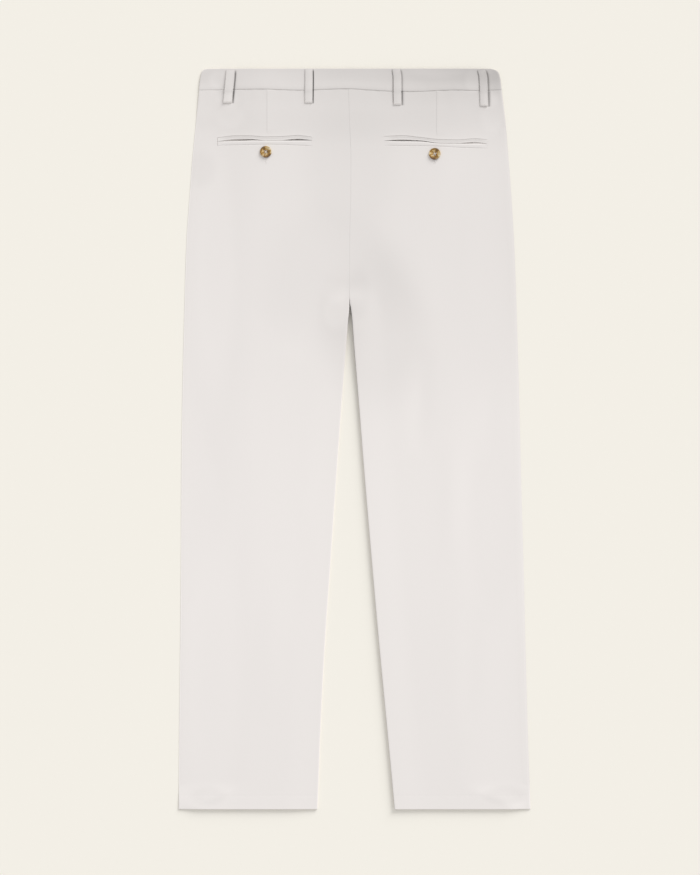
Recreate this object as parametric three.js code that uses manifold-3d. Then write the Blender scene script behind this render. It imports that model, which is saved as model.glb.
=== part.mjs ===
// Men's chino trousers laid flat, face down, with the back uppermost and the legs a little apart.
// Each leg is a front and a back panel that meet at the side seam and the inside-leg seam. One waistband
// strip goes all round and laps at the centre front. Millimetres: +X to the right of the laid garment,
// +Y towards the waist, +Z up. The origin is under the middle of the outline, on the surface it lies on.
import * as THREE from "three";
import { mergeVertices } from "three/addons/utils/BufferGeometryUtils.js";
import Module from "manifold-3d";

const wasm = await Module();
wasm.setup();

// Cloth and seams
const LENGTH = 1070;
const CLOTH = 1.1;
const HEM_CLOTH = 1.7;
const HEM_DEPTH = 20;
const BAND_CLOTH = 1.6;
const BAND_PROUD = 0.4;
const SEAM_GAP = 0.3;
const BAND_DEPTH = 31.4;

// Belt loops
const LOOP_WIDTH = 12;
const LOOP_CLOTH = 1.2;
const LOOP_SLACK = 1.6;
const LOOP_START = 0.6;
const BAND_STEP = 3;

// The front cloth is held off the surface by the loops under it, as far down as they reach.
const LOOP_ROOM = LOOP_CLOTH + SEAM_GAP;
const LOOP_ROOM_END = 56;
const FLAT_FROM = 110;

// How far below the waistband its seam still shapes the panels.
const WAIST_FADE = 60;

// Air between the layers at the edges: the side seams lie pressed flat, the inside legs roll over.
const SIDE_GAP = 0.6;
const SIDE_GAP_AT_WAIST = 2.2;
const SIDE_BLEND = 45;
const INSIDE_GAP = { Left: 1.8, Right: 3.2 };
const INSIDE_BLEND = 35;

// Where the seat seam ends and the legs part
const CROTCH = 338;
const CROTCH_ROLL = 26;

// The outline: each edge's place left or right of the centre, from the waist down. Above the crotch both
// inner columns are the seat seam.
const OUTLINE = [
  { down: 31.4, outerLeft: -218.4, innerLeft: -2.2, innerRight: -2.2, outerRight: 219.4 },
  { down: 74.8, outerLeft: -223.4, innerLeft: -0.6, innerRight: -0.6, outerRight: 224.7 },
  { down: 132.6, outerLeft: -229.0, innerLeft: 1.4, innerRight: 1.4, outerRight: 229.6 },
  { down: 190.4, outerLeft: -233.3, innerLeft: 1.0, innerRight: 1.0, outerRight: 233.9 },
  { down: 248.3, outerLeft: -237.2, innerLeft: -0.4, innerRight: -0.4, outerRight: 237.3 },
  { down: 338.0, outerLeft: -240.1, innerLeft: -0.6, innerRight: -0.6, outerRight: 240.8 },
  { down: 393.0, outerLeft: -241.5, innerLeft: -4.1, innerRight: 4.6, outerRight: 242.5 },
  { down: 479.6, outerLeft: -243.4, innerLeft: -11.9, innerRight: 11.4, outerRight: 244.9 },
  { down: 595.3, outerLeft: -244.8, innerLeft: -20.0, innerRight: 21.3, outerRight: 247.7 },
  { down: 711.0, outerLeft: -245.2, innerLeft: -27.9, innerRight: 31.1, outerRight: 250.9 },
  { down: 826.7, outerLeft: -246.3, innerLeft: -35.9, innerRight: 41.3, outerRight: 253.7 },
  { down: 942.4, outerLeft: -247.6, innerLeft: -42.0, innerRight: 52.3, outerRight: 256.8 },
  { down: LENGTH, outerLeft: -248.8, innerLeft: -47.0, innerRight: 64.3, outerRight: 261.2 },
];
const HEM_ROW = OUTLINE[OUTLINE.length - 1];
const MIDDLE = (HEM_ROW.outerLeft + HEM_ROW.outerRight) / 2;

// The folded ends of the waistband, rounded off towards the top edge.
const BAND_ENDS = [
  { down: 0, left: -207.5, right: 203.5 },
  { down: 1.5, left: -212.0, right: 209.5 },
  { down: 4, left: -214.0, right: 213.8 },
  { down: 8.5, left: -215.7, right: 216.0 },
  { down: 17, left: -217.3, right: 217.4 },
  { down: 34, left: -218.9, right: 219.2 },
];

// The waistband seam across the back, which dips where a loop or a dart is caught into it.
const BAND_SEAM = [
  { x: -219, down: 31.8 },
  { x: -166, down: 30.6 },
  { x: -127, down: 29.6 },
  { x: -72, down: 31.5 },
  { x: -29, down: 30.0 },
  { x: -4, down: 29.2 },
  { x: 43, down: 31.8 },
  { x: 61, down: 33.2 },
  { x: 101, down: 32.0 },
  { x: 124, down: 31.6 },
  { x: 174, down: 32.9 },
  { x: 194, down: 32.2 },
  { x: 219, down: 30.6 },
];

// The air between the front and back cloth, away from the rolled edges.
const AIR = [
  { down: 0, gap: 3.2 },
  { down: 60, gap: 3.2 },
  { down: 200, gap: 2.7 },
  { down: 338, gap: 3.0 },
  { down: 480, gap: 2.2 },
  { down: 760, gap: 1.9 },
  { down: LENGTH, gap: 2.2 },
];

// The largest soft folds of the back cloth: a ridge where rise is above zero and a trough where below.
const FOLDS = [
  { name: "seatRight", x0: 30, down0: 205, x1: 116, down1: 372, width: 20, rise: 0.7 },
  { name: "underSeatRight", x0: 22, down0: 262, x1: 66, down1: 402, width: 22, rise: -0.8 },
  { name: "thighRight", x0: 108, down0: 400, x1: 96, down1: 560, width: 15, rise: -0.9 },
  { name: "kneeRight", x0: 150, down0: 520, x1: 142, down1: 720, width: 18, rise: 0.6 },
  { name: "sideRight", x0: 214, down0: 420, x1: 198, down1: 560, width: 13, rise: -0.7 },
  { name: "shinRight", x0: 178, down0: 770, x1: 170, down1: 960, width: 17, rise: -0.6 },
  { name: "seatLeft", x0: -26, down0: 226, x1: -128, down1: 360, width: 24, rise: 0.6 },
  { name: "underSeatLeft", x0: -20, down0: 300, x1: -82, down1: 420, width: 24, rise: -0.8 },
  { name: "sideLeft", x0: -222, down0: 500, x1: -198, down1: 640, width: 13, rise: -0.8 },
  { name: "kneeLeft", x0: -150, down0: 560, x1: -168, down1: 780, width: 17, rise: -0.8 },
  { name: "innerLeft", x0: -62, down0: 640, x1: -82, down1: 830, width: 14, rise: -0.8 },
  { name: "shinLeft", x0: -112, down0: 700, x1: -120, down1: 940, width: 18, rise: 0.6 },
];

// Two-lip pockets: the upper seam, the mouth's middle and height, and the lower seam, along the pocket.
const POCKETS = {
  left: [
    { x: -190.9, upper: 99.6, mouth: 104.9, open: 0.4, lower: 110.9 },
    { x: -165.0, upper: 97.0, mouth: 103.1, open: 2.6, lower: 110.6 },
    { x: -142.0, upper: 97.3, mouth: 103.4, open: 1.8, lower: 110.2 },
    { x: -122.9, upper: 98.8, mouth: 104.1, open: 0.4, lower: 109.8 },
    { x: -101.0, upper: 98.5, mouth: 104.0, open: 0.5, lower: 110.0 },
    { x: -75.2, upper: 96.9, mouth: 103.0, open: 2.4, lower: 110.4 },
    { x: -54.9, upper: 99.3, mouth: 103.8, open: 0.4, lower: 110.9 },
  ],
  right: [
    { x: 49.6, upper: 98.3, mouth: 104.3, open: 0.4, lower: 110.8 },
    { x: 75.2, upper: 97.2, mouth: 104.5, open: 2.3, lower: 111.1 },
    { x: 101.2, upper: 99.6, mouth: 105.3, open: 1.4, lower: 111.8 },
    { x: 130.1, upper: 102.7, mouth: 108.0, open: 0.5, lower: 112.6 },
    { x: 156.2, upper: 103.0, mouth: 108.6, open: 0.5, lower: 113.7 },
    { x: 180.8, upper: 101.2, mouth: 107.6, open: 1.9, lower: 114.8 },
    { x: 198.1, upper: 102.5, mouth: 108.5, open: 0.4, lower: 115.7 },
  ],
};
const LIP_CROWN = 0.55;
const LIP_SINK = 0.9;
const SLOT_FROM = 2;
const SLOT_TO = 14;
const LIP_STEPS = 18;

// Darts run from the waistband seam to the pocket.
const DARTS = {
  left: { x: -121.2, from: 33, to: 96.5 },
  right: { x: 124.6, from: 34, to: 100 },
};
const DART_DEPTH = 0.45;
const DART_WIDTH = 1.4;

// Pocket buttons, four-hole with a raised rim
const BUTTONS = {
  left: { x: -121.6, down: 120.6 },
  right: { x: 122.3, down: 123.5 },
};
const BUTTON_RADIUS = 8.3;
const BUTTON_HEIGHT = 2.9;
const BUTTON_HOLE_RADIUS = 0.95;
const BUTTON_HOLE_PLACE = 1.65;
const BUTTON_BEVEL = 0.9;
const BUTTON_RIM = 2.3;
const BUTTON_DISH = 0.7;

// Belt loops, back and front, by their middles at the top and at the lower end
const BACK_LOOPS = [
  { name: "belt_loop_side_left", topX: -172.7, endX: -176.4, end: 50.0 },
  { name: "belt_loop_back_left", topX: -59.6, endX: -59.4, end: 50.6 },
  { name: "belt_loop_back_right", topX: 67.2, endX: 69.6, end: 53.4 },
  { name: "belt_loop_side_right", topX: 191.0, endX: 194.6, end: 54.5 },
];
const FRONT_LOOPS = [
  { name: "belt_loop_front_left", x: -112, end: 51 },
  { name: "belt_loop_front_right", x: 112, end: 51 },
];

// The waistband's lap at the centre front, and the shield behind the fly
const LAP_UNDER = 36;
const LAP_CLEAR = 2;
const LAP_BEND = 16;
const SHIELD = { left: -34, right: 8, from: 33, to: 192, cloth: 1, tipFrom: 0.7, tipWidth: 0.45 };

// Rows down the leg and columns across it
const ROWS = [
  0, 6, 16, 30, 46, 62, 78, 100, 128, 160, 192, 222, 250, 276, 294, 306.6, 312, 330, 356, 386, 418, 450,
  484, 518, 552, 588, 624, 660, 698, 736, 776, 816, 858, 900, 944, 986, 1018, 1019, 1038.6,
].map((below) => BAND_DEPTH + below);
ROWS[ROWS.length - 1] = LENGTH;
const ROLL_STEPS = 4;
const BACK_STEPS = 16;
const FRONT_STEPS = 3;

// A smooth step from 0 to 1
function ease(t) {
  const s = Math.min(1, Math.max(0, t));
  return s * s * (3 - 2 * s);
}

function mix(a, b, t) {
  return a + (b - a) * t;
}

// A table's column at a place, on a smooth curve that never overshoots its rows.
function read(table, key, column, at) {
  const last = table.length - 1;
  if (at <= table[0][key]) return table[0][column];
  if (at >= table[last][key]) return table[last][column];
  const slope = (i) => (table[i + 1][column] - table[i][column]) / (table[i + 1][key] - table[i][key]);
  const tangent = (i) => {
    if (i === 0) return slope(0);
    if (i === last) return slope(last - 1);
    const before = slope(i - 1);
    const after = slope(i);
    return before * after <= 0 ? 0 : (2 * before * after) / (before + after);
  };
  const i = table.findIndex((row) => row[key] > at) - 1;
  const span = table[i + 1][key] - table[i][key];
  const t = (at - table[i][key]) / span;
  const a = table[i][column];
  const b = table[i + 1][column];
  const rise = span * (tangent(i) * t * (1 - t) ** 2 - tangent(i + 1) * t * t * (1 - t));
  return mix(a, b, ease(t)) + rise;
}

// How far the front cloth is held off the surface, by the belt loops under it.
function lift(down) {
  return LOOP_ROOM * (1 - ease((down - LOOP_ROOM_END) / (FLAT_FROM - LOOP_ROOM_END)));
}

// How far the inner edge is rolled over: 0 at the seat seam, 1 along the inside leg.
function rolled(down) {
  return ease((down - CROTCH + CROTCH_ROLL) / CROTCH_ROLL);
}

// A fold's height at a point: across it a bell, along it tapering to both ends.
function foldHeight(fold, x, down) {
  const ax = fold.x1 - fold.x0;
  const ad = fold.down1 - fold.down0;
  const t = ((x - fold.x0) * ax + (down - fold.down0) * ad) / (ax * ax + ad * ad);
  if (t <= 0 || t >= 1) return 0;
  const off = Math.hypot(x - fold.x0 - t * ax, down - fold.down0 - t * ad);
  return fold.rise * Math.sin(Math.PI * t) * Math.exp(-((off / fold.width) ** 2));
}

// The air between the layers at the side seam, which closes below the waistband.
function sideGap(down) {
  return mix(SIDE_GAP_AT_WAIST, SIDE_GAP, ease((down - BAND_DEPTH) / WAIST_FADE));
}

// How far inside the side seam a point is: 0 on the seam, 1 where the layers are fully apart.
function insideSeam(x, down) {
  const toSeam = Math.min(
    Math.abs(x - read(OUTLINE, "down", "outerLeft", down)),
    Math.abs(x - read(OUTLINE, "down", "outerRight", down)),
  );
  return ease(toSeam / SIDE_BLEND);
}

// The back cloth's upper surface.
function backHeight(x, down) {
  const toLeft = Math.abs(x - read(OUTLINE, "down", "innerLeft", down));
  const toRight = Math.abs(x - read(OUTLINE, "down", "innerRight", down));
  const rim = x > read(OUTLINE, "down", "innerLeft", down) ? INSIDE_GAP.Right : INSIDE_GAP.Left;
  const folds = FOLDS.reduce((sum, fold) => sum + foldHeight(fold, x, down), 0);
  const open = read(AIR, "down", "gap", down) + folds;
  const air = mix(sideGap(down), open, insideSeam(x, down));
  const atInside = rolled(down) * (1 - ease(Math.min(toLeft, toRight) / INSIDE_BLEND));
  return lift(down) + 2 * CLOTH + mix(air, rim, atInside);
}

// The waistband seam, straight under the front and wavy across the back.
function seamDown(x, up) {
  return mix(BAND_DEPTH, read(BAND_SEAM, "x", "down", x), (1 + up) / 2);
}

function place(x, down, z) {
  return new THREE.Vector3(x - MIDDLE, LENGTH / 2 - down, z);
}

// A closed wall between a grid of outer points and the matching grid of inner points.
function wall(outer, inner) {
  const rows = outer.length;
  const columns = outer[0].length;
  const positions = [...outer.flat(), ...inner.flat()].flatMap((p) => [p.x, p.y, p.z]);
  const at = (layer, r, c) => layer * rows * columns + r * columns + c;
  const index = [];
  const quad = (a, b, c, d) => index.push(a, b, c, a, c, d);
  for (let r = 0; r < rows - 1; r++) {
    for (let c = 0; c < columns - 1; c++) {
      quad(at(0, r, c), at(0, r + 1, c), at(0, r + 1, c + 1), at(0, r, c + 1));
      quad(at(1, r, c), at(1, r, c + 1), at(1, r + 1, c + 1), at(1, r + 1, c));
    }
    quad(at(0, r, 0), at(1, r, 0), at(1, r + 1, 0), at(0, r + 1, 0));
    const end = columns - 1;
    quad(at(0, r, end), at(0, r + 1, end), at(1, r + 1, end), at(1, r, end));
  }
  for (let c = 0; c < columns - 1; c++) {
    quad(at(0, 0, c), at(0, 0, c + 1), at(1, 0, c + 1), at(1, 0, c));
    const end = rows - 1;
    quad(at(0, end, c), at(1, end, c), at(1, end, c + 1), at(0, end, c + 1));
  }
  if (signedVolume(positions, index) < 0) index.reverse();
  const geometry = new THREE.BufferGeometry();
  geometry.setAttribute("position", new THREE.Float32BufferAttribute(positions, 3));
  geometry.setIndex(index);
  return geometry;
}

function signedVolume(positions, index) {
  const corner = (i) => new THREE.Vector3().fromArray(positions, index[i] * 3);
  let sum = 0;
  for (let i = 0; i < index.length; i += 3) {
    sum += corner(i).dot(corner(i + 1).cross(corner(i + 2)));
  }
  return sum;
}

// A geometry as a solid for cutting, and back again.
function toSolid(geometry) {
  const bare = geometry.clone();
  bare.deleteAttribute("normal");
  bare.deleteAttribute("uv");
  const merged = mergeVertices(bare, 1e-4);
  const vertProperties = merged.attributes.position.array;
  const triVerts = new Uint32Array(merged.index.array);
  return new wasm.Manifold(new wasm.Mesh({ numProp: 3, vertProperties, triVerts }));
}

function fromSolid(solid) {
  const mesh = solid.getMesh();
  const geometry = new THREE.BufferGeometry();
  geometry.setAttribute("position", new THREE.Float32BufferAttribute(mesh.vertProperties, 3));
  geometry.setIndex([...mesh.triVerts]);
  return geometry;
}

// One point of a section: where the outer face is, which way it faces, and its inner partner.
function facePoint(x, z, nx, nz) {
  const size = Math.hypot(nx, nz);
  return { x, z, nx: nx / size, nz: nz / size };
}

// A panel's section at one level: rolled outer edge, face, and an inner edge that is square at the seat
// seam and rolled along the leg. up is 1 for the back panels and -1 for the front ones.
function panelSection(side, up, down, steps) {
  const toward = side === "Left" ? 1 : -1;
  const outer = read(OUTLINE, "down", "outer" + side, down);
  const inner = read(OUTLINE, "down", "inner" + side, down) - (toward * SEAM_GAP) / 2;
  const rimAt = (gap) => lift(down) + CLOTH + (gap + up * SEAM_GAP) / 2;
  const rollOf = (gap) => CLOTH + (gap - SEAM_GAP) / 2;
  const face = (x) => (up > 0 ? backHeight(x, down) : lift(down));
  const tilt = (x) => (up > 0 ? (face(x + 1) - face(x - 1)) / 2 : 0);
  const points = [];
  const sideRoll = rollOf(sideGap(down));
  const sideRim = rimAt(sideGap(down));
  const from = outer + toward * sideRoll;
  const sideHeight = Math.abs(face(from) - sideRim);
  for (let k = 0; k <= ROLL_STEPS; k++) {
    const angle = ((Math.PI / 2) * k) / ROLL_STEPS;
    const x = from - toward * sideRoll * Math.cos(angle);
    const z = sideRim + up * sideHeight * Math.sin(angle);
    points.push(facePoint(x, z, -toward * sideHeight * Math.cos(angle), up * sideRoll * Math.sin(angle)));
  }
  const insideRoll = rollOf(INSIDE_GAP[side]);
  const insideRim = rimAt(INSIDE_GAP[side]);
  const to = inner - toward * insideRoll;
  for (let k = 1; k < steps; k++) {
    const x = mix(from, to, k / steps);
    points.push(facePoint(x, face(x), -tilt(x), up));
  }
  const insideHeight = Math.abs(face(to) - insideRim);
  const share = rolled(down);
  for (let k = 0; k <= ROLL_STEPS; k++) {
    const angle = ((Math.PI / 2) * k) / ROLL_STEPS;
    const flatX = mix(to, inner, k / ROLL_STEPS);
    const x = mix(flatX, to + toward * insideRoll * Math.sin(angle), share);
    const z = mix(face(flatX), insideRim + up * insideHeight * Math.cos(angle), share);
    const nx = share * toward * insideHeight * Math.sin(angle);
    const nz = up * mix(1, insideRoll * Math.cos(angle), share);
    points.push(facePoint(x, z, nx, nz));
  }
  return points;
}

// A front or back leg panel, with its hem turned up inside.
function panel(side, up) {
  const outer = [];
  const inner = [];
  for (const level of ROWS) {
    const section = panelSection(side, up, level, up > 0 ? BACK_STEPS : FRONT_STEPS);
    const turnUp = level > LENGTH - HEM_DEPTH ? HEM_CLOTH - CLOTH : 0;
    const cloth = (p) => CLOTH + turnUp * insideSeam(p.x, level);
    const follow = 1 - ease((level - BAND_DEPTH) / WAIST_FADE);
    const first = level === ROWS[0] ? SEAM_GAP / 2 : 0;
    const downs = section.map((p) => level + first + (seamDown(p.x, p.nz) - BAND_DEPTH) * follow);
    outer.push(section.map((p, i) => place(p.x, downs[i], p.z)));
    inner.push(section.map((p, i) => place(p.x - p.nx * cloth(p), downs[i], p.z - p.nz * cloth(p))));
  }
  return wall(outer, inner);
}

// A strip between two edges along a pocket, from one height to another.
function pocketStrip(rows, inset, edges, heights) {
  const first = rows[0].x + inset;
  const last = rows[rows.length - 1].x - inset;
  return edges.map((edge, r) =>
    Array.from({ length: LIP_STEPS + 1 }, (_, c) => {
      const x = mix(first, last, c / LIP_STEPS);
      const down = edge(x);
      return place(x, down, heights(x, down, r));
    }),
  );
}

// The hole in the back panel that a pocket's lips fill.
function pocketSlot(rows) {
  const edges = ["upper", "lower"].map((name) => (x) => read(rows, "x", name, x));
  const top = pocketStrip(rows, 0, edges, () => SLOT_TO);
  const bottom = pocketStrip(rows, 0, edges, () => SLOT_FROM);
  return wall(top, bottom);
}

// One lip of a pocket: a narrow rolled strip from its seam to the mouth.
function pocketLip(rows, isUpper) {
  const seam = (x) => read(rows, "x", isUpper ? "upper" : "lower", x) + (isUpper ? SEAM_GAP : -SEAM_GAP);
  const opening = (x) => ((isUpper ? -1 : 1) * read(rows, "x", "open", x)) / 2;
  const mouth = (x) => read(rows, "x", "mouth", x) + opening(x);
  const crown = [0, 1, 1, 0];
  const edges = crown.map((_, r) => (x) => mix(seam(x), mouth(x), r / (crown.length - 1)));
  const top = (x, down, r) => backHeight(x, down) + LIP_CROWN * crown[r];
  const bottom = (x, down) => backHeight(x, down) - LIP_SINK;
  return wall(pocketStrip(rows, SEAM_GAP, edges, top), pocketStrip(rows, SEAM_GAP, edges, bottom));
}

// The groove that a sewn dart leaves in the panel.
function dartGroove(dart) {
  const steps = 6;
  const line = (half, height) =>
    Array.from({ length: steps + 1 }, (_, r) => {
      const down = mix(dart.from, dart.to, r / steps);
      return [-half, half].map((off) => place(dart.x + off, down, backHeight(dart.x, down) + height));
    });
  return wall(line(DART_WIDTH, DART_DEPTH), line(DART_WIDTH / 8, -DART_DEPTH));
}

// The waistband's path at one level: the right end laps under at the centre front, then right front,
// folded side, back, folded side, and left front.
function bandPath(down) {
  const left = read(BAND_ENDS, "down", "left", down);
  const right = read(BAND_ENDS, "down", "right", down);
  const centre = read(OUTLINE, "down", "innerLeft", BAND_DEPTH);
  const low = lift(down);
  const high = (x) => backHeight(x, down) + BAND_PROUD;
  const roll = (2 * CLOTH + SIDE_GAP_AT_WAIST + BAND_PROUD) / 2;
  const lapHeight = low + BAND_CLOTH + SEAM_GAP;
  const points = [];
  const underSteps = 3;
  for (let k = 0; k < underSteps; k++) {
    points.push(facePoint(mix(centre - LAP_UNDER, centre, k / underSteps), lapHeight, 0, -1));
  }
  const bendSteps = 4;
  for (let k = 0; k <= bendSteps; k++) {
    const t = k / bendSteps;
    const slope = ((low - lapHeight) / LAP_BEND) * 6 * t * (1 - t);
    points.push(facePoint(centre + LAP_CLEAR + LAP_BEND * t, mix(lapHeight, low, ease(t)), slope, -1));
  }
  const frontSteps = 3;
  const frontFrom = centre + LAP_CLEAR + LAP_BEND;
  for (let k = 1; k < frontSteps; k++) {
    points.push(facePoint(mix(frontFrom, right - roll, k / frontSteps), low, 0, -1));
  }
  points.push(...bandFold(right, 1, roll, low, high(right - roll)));
  const backSteps = 24;
  for (let k = 1; k < backSteps; k++) {
    const x = mix(right - roll, left + roll, k / backSteps);
    points.push(facePoint(x, high(x), 0, 1));
  }
  points.push(...bandFold(left, -1, roll, low, high(left + roll)).reverse());
  for (let k = 1; k <= frontSteps; k++) {
    points.push(facePoint(mix(left + roll, centre - SEAM_GAP, k / frontSteps), low, 0, -1));
  }
  return points;
}

// The half-round fold at a side of the waistband, from the front face to the back one.
function bandFold(end, outward, roll, low, high) {
  const steps = 8;
  const half = (high - low) / 2;
  return Array.from({ length: steps + 1 }, (_, k) => {
    const angle = (Math.PI * k) / steps - Math.PI / 2;
    const x = end - outward * roll * (1 - Math.cos(angle));
    const z = low + half * (1 + Math.sin(angle));
    return facePoint(x, z, outward * half * Math.cos(angle), roll * Math.sin(angle));
  });
}

// The waistband: one strip round the waist, thinner along its folded top edge.
function waistband() {
  const levels = [0, 1.5, 4, 8.5, 17, 1];
  const topEase = 0.5;
  const outer = [];
  const inner = [];
  levels.forEach((level, row) => {
    const isSeam = row === levels.length - 1;
    const path = bandPath(isSeam ? BAND_DEPTH : level);
    const soften = topEase * (1 - ease(level / 4)) * (isSeam ? 0 : 1);
    const down = (p) => (isSeam ? seamDown(p.x, p.nz) - SEAM_GAP / 2 : level);
    outer.push(path.map((p) => place(p.x - p.nx * soften, down(p), p.z - p.nz * soften)));
    inner.push(path.map((p) => place(p.x - p.nx * BAND_CLOTH, down(p), p.z - p.nz * BAND_CLOTH)));
  });
  return wall(outer, inner);
}

// A belt loop on the back: caught at the top edge and below the waistband, slack between.
function backLoop(loop) {
  const steps = 11;
  const across = [-1, 0, 1].map((share) => (share * LOOP_WIDTH) / 2);
  const under = Array.from({ length: steps + 1 }, (_, r) => {
    const t = r / steps;
    const x = mix(loop.topX, loop.endX, t);
    const down = mix(LOOP_START, loop.end, t);
    const onBand = down < seamDown(x, 1) + BAND_STEP;
    const seat = Math.max(...across.map((off) => backHeight(x + off, down))) + (onBand ? BAND_PROUD : 0);
    const z = seat + SEAM_GAP + LOOP_SLACK * Math.sin(Math.PI * t) ** 0.8;
    return across.map((off) => place(x + off, down, z));
  });
  const over = under.map((row) => row.map((p) => p.clone().setZ(p.z + LOOP_CLOTH)));
  return wall(over, under);
}

// A belt loop on the front, pressed flat between the waistband and the surface.
function frontLoop(loop) {
  const steps = 5;
  const rows = Array.from({ length: steps + 1 }, (_, r) => mix(LOOP_START, loop.end, r / steps));
  const strip = (z) =>
    rows.map((down) => [-LOOP_WIDTH / 2, LOOP_WIDTH / 2].map((off) => place(loop.x + off, down, z)));
  return wall(strip(LOOP_CLOTH), strip(0));
}

// The shield behind the fly: joined to the right front, it lies on the inner face of both fronts.
function flyShield() {
  const steps = 10;
  const centre = read(OUTLINE, "down", "innerLeft", BAND_DEPTH);
  const strip = (height) =>
    Array.from({ length: steps + 1 }, (_, r) => {
      const down = mix(SHIELD.from, SHIELD.to, r / steps);
      const atTip = ease((r / steps - SHIELD.tipFrom) / (1 - SHIELD.tipFrom));
      const narrow = mix(1, SHIELD.tipWidth, atTip);
      const z = lift(down) + CLOTH + SEAM_GAP + height;
      return [SHIELD.left * narrow, SHIELD.right].map((off) => place(centre + off, down, z));
    });
  return wall(strip(SHIELD.cloth), strip(0));
}

// A four-hole button with a raised rim and a dished middle.
function button() {
  const profile = [
    [0, 0],
    [BUTTON_RADIUS - BUTTON_BEVEL, 0],
    [BUTTON_RADIUS, BUTTON_BEVEL],
    [BUTTON_RADIUS, BUTTON_HEIGHT - BUTTON_BEVEL],
    [BUTTON_RADIUS - BUTTON_BEVEL, BUTTON_HEIGHT],
    [BUTTON_RADIUS - BUTTON_RIM, BUTTON_HEIGHT],
    [BUTTON_RADIUS - BUTTON_RIM - BUTTON_BEVEL, BUTTON_HEIGHT - BUTTON_DISH],
    [0, BUTTON_HEIGHT - BUTTON_DISH],
  ].map(([radius, height]) => new THREE.Vector2(radius, height));
  let solid = toSolid(new THREE.LatheGeometry(profile, 24).rotateX(Math.PI / 2));
  for (const sx of [-1, 1]) {
    for (const sy of [-1, 1]) {
      const hole = new THREE.CylinderGeometry(BUTTON_HOLE_RADIUS, BUTTON_HOLE_RADIUS, 4 * BUTTON_HEIGHT, 8);
      hole.rotateX(Math.PI / 2);
      hole.translate(sx * BUTTON_HOLE_PLACE, sy * BUTTON_HOLE_PLACE, 0);
      solid = solid.subtract(toSolid(hole));
    }
  }
  return fromSolid(solid);
}

const clothMaterial = new THREE.MeshStandardMaterial({ color: 0xebe6e3, roughness: 0.9, metalness: 0 });
const buttonMaterial = new THREE.MeshStandardMaterial({ color: 0xa88850, roughness: 0.35, metalness: 0 });
const trousers = new THREE.Group();

function add(name, geometry, material = clothMaterial) {
  const mesh = new THREE.Mesh(geometry, material);
  mesh.name = name;
  trousers.add(mesh);
  return mesh;
}

for (const side of ["Left", "Right"]) {
  const hand = side.toLowerCase();
  add(`front_${hand}`, panel(side, -1));
  const back = toSolid(panel(side, 1));
  const slot = toSolid(pocketSlot(POCKETS[hand]));
  const dart = toSolid(dartGroove(DARTS[hand]));
  add(`back_${hand}`, fromSolid(back.subtract(slot).subtract(dart)));
  add(`pocket_lip_upper_${hand}`, pocketLip(POCKETS[hand], true));
  add(`pocket_lip_lower_${hand}`, pocketLip(POCKETS[hand], false));
  const { x, down } = BUTTONS[hand];
  const seat = Math.max(...[-1, 1].map((s) => backHeight(x, down + s * BUTTON_RADIUS)));
  add(`pocket_button_${hand}`, button(), buttonMaterial).position.copy(place(x, down, seat + SEAM_GAP));
}
add("waistband", waistband());
add("fly_shield", flyShield());
for (const loop of BACK_LOOPS) add(loop.name, backLoop(loop));
for (const loop of FRONT_LOOPS) add(loop.name, frontLoop(loop));

export default trousers;
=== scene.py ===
"""Men's stone-coloured chino trousers, laid flat with the back uppermost on a pale floor.

Every place on the garment is given in millimetres as (x, down): x to the right of the picture's middle, down
from the top of the waistband. put() turns that, with a height above the floor, into the frame's metres.
"""
import math
from collections import namedtuple

import bmesh
import bpy
import numpy as np
from mathutils import Matrix, Vector, noise


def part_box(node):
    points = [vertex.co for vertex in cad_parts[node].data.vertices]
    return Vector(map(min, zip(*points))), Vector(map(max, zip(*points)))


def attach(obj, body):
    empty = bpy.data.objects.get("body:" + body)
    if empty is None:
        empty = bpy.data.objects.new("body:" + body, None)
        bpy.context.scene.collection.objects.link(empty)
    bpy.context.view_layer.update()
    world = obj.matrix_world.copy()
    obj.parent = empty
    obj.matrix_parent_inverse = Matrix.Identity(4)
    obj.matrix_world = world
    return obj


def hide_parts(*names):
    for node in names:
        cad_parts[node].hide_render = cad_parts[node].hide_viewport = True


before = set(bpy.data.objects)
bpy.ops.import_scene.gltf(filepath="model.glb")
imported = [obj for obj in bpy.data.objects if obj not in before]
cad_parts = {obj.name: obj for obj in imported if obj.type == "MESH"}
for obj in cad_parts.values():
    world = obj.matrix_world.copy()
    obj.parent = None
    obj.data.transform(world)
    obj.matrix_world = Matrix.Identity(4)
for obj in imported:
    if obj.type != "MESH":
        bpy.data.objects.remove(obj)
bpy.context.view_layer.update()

MM = 0.001
LENGTH = 1070.0
BODY = "root"
SIDES = ("left", "right")

# Cloth: a single layer of twill, the doubled hem and waistband, and the closed seams
TWILL = 0.55
CAD_TWILL = 1.1
HEM_EXTRA = 0.6
HEM_DEPTH = 19.5
HEM_LINE = LENGTH - HEM_DEPTH
HEM_STITCH = 9.0
BAND_TWILL = 1.1
BAND_PROUD = 0.4
BAND_SEAM_LEVEL = 31.4
SEAM = 0.03

# Both layers together at the pressed side seams and at the inside legs, and how wide those edges roll
SIDE_RIM_AT_WAIST = 2.2
SIDE_RIM = 0.44
SIDE_RIM_AT_HEM = 2.0
WAIST_FADE = 60.0
HEM_FADE = 40.0
SIDE_ROLL = 3.0
SIDE_TWILL_SHARE = 0.32
INSIDE_ROLL = 0.8

# How far the back cloth's underside stays off the floor where both layers are pressed together
UNDERSIDE = 0.02

# Both layers together along the inside legs, which stand highest at the crotch: down, left, right
INSIDE_RIM = np.array([
    (310, 4.6, 4.6),
    (345, 6.8, 7.2),
    (372, 6.2, 7.2),
    (400, 5.0, 6.6),
    (470, 3.2, 5.2),
    (570, 2.9, 4.8),
    (LENGTH, 3.0, 4.8),
])

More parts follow.
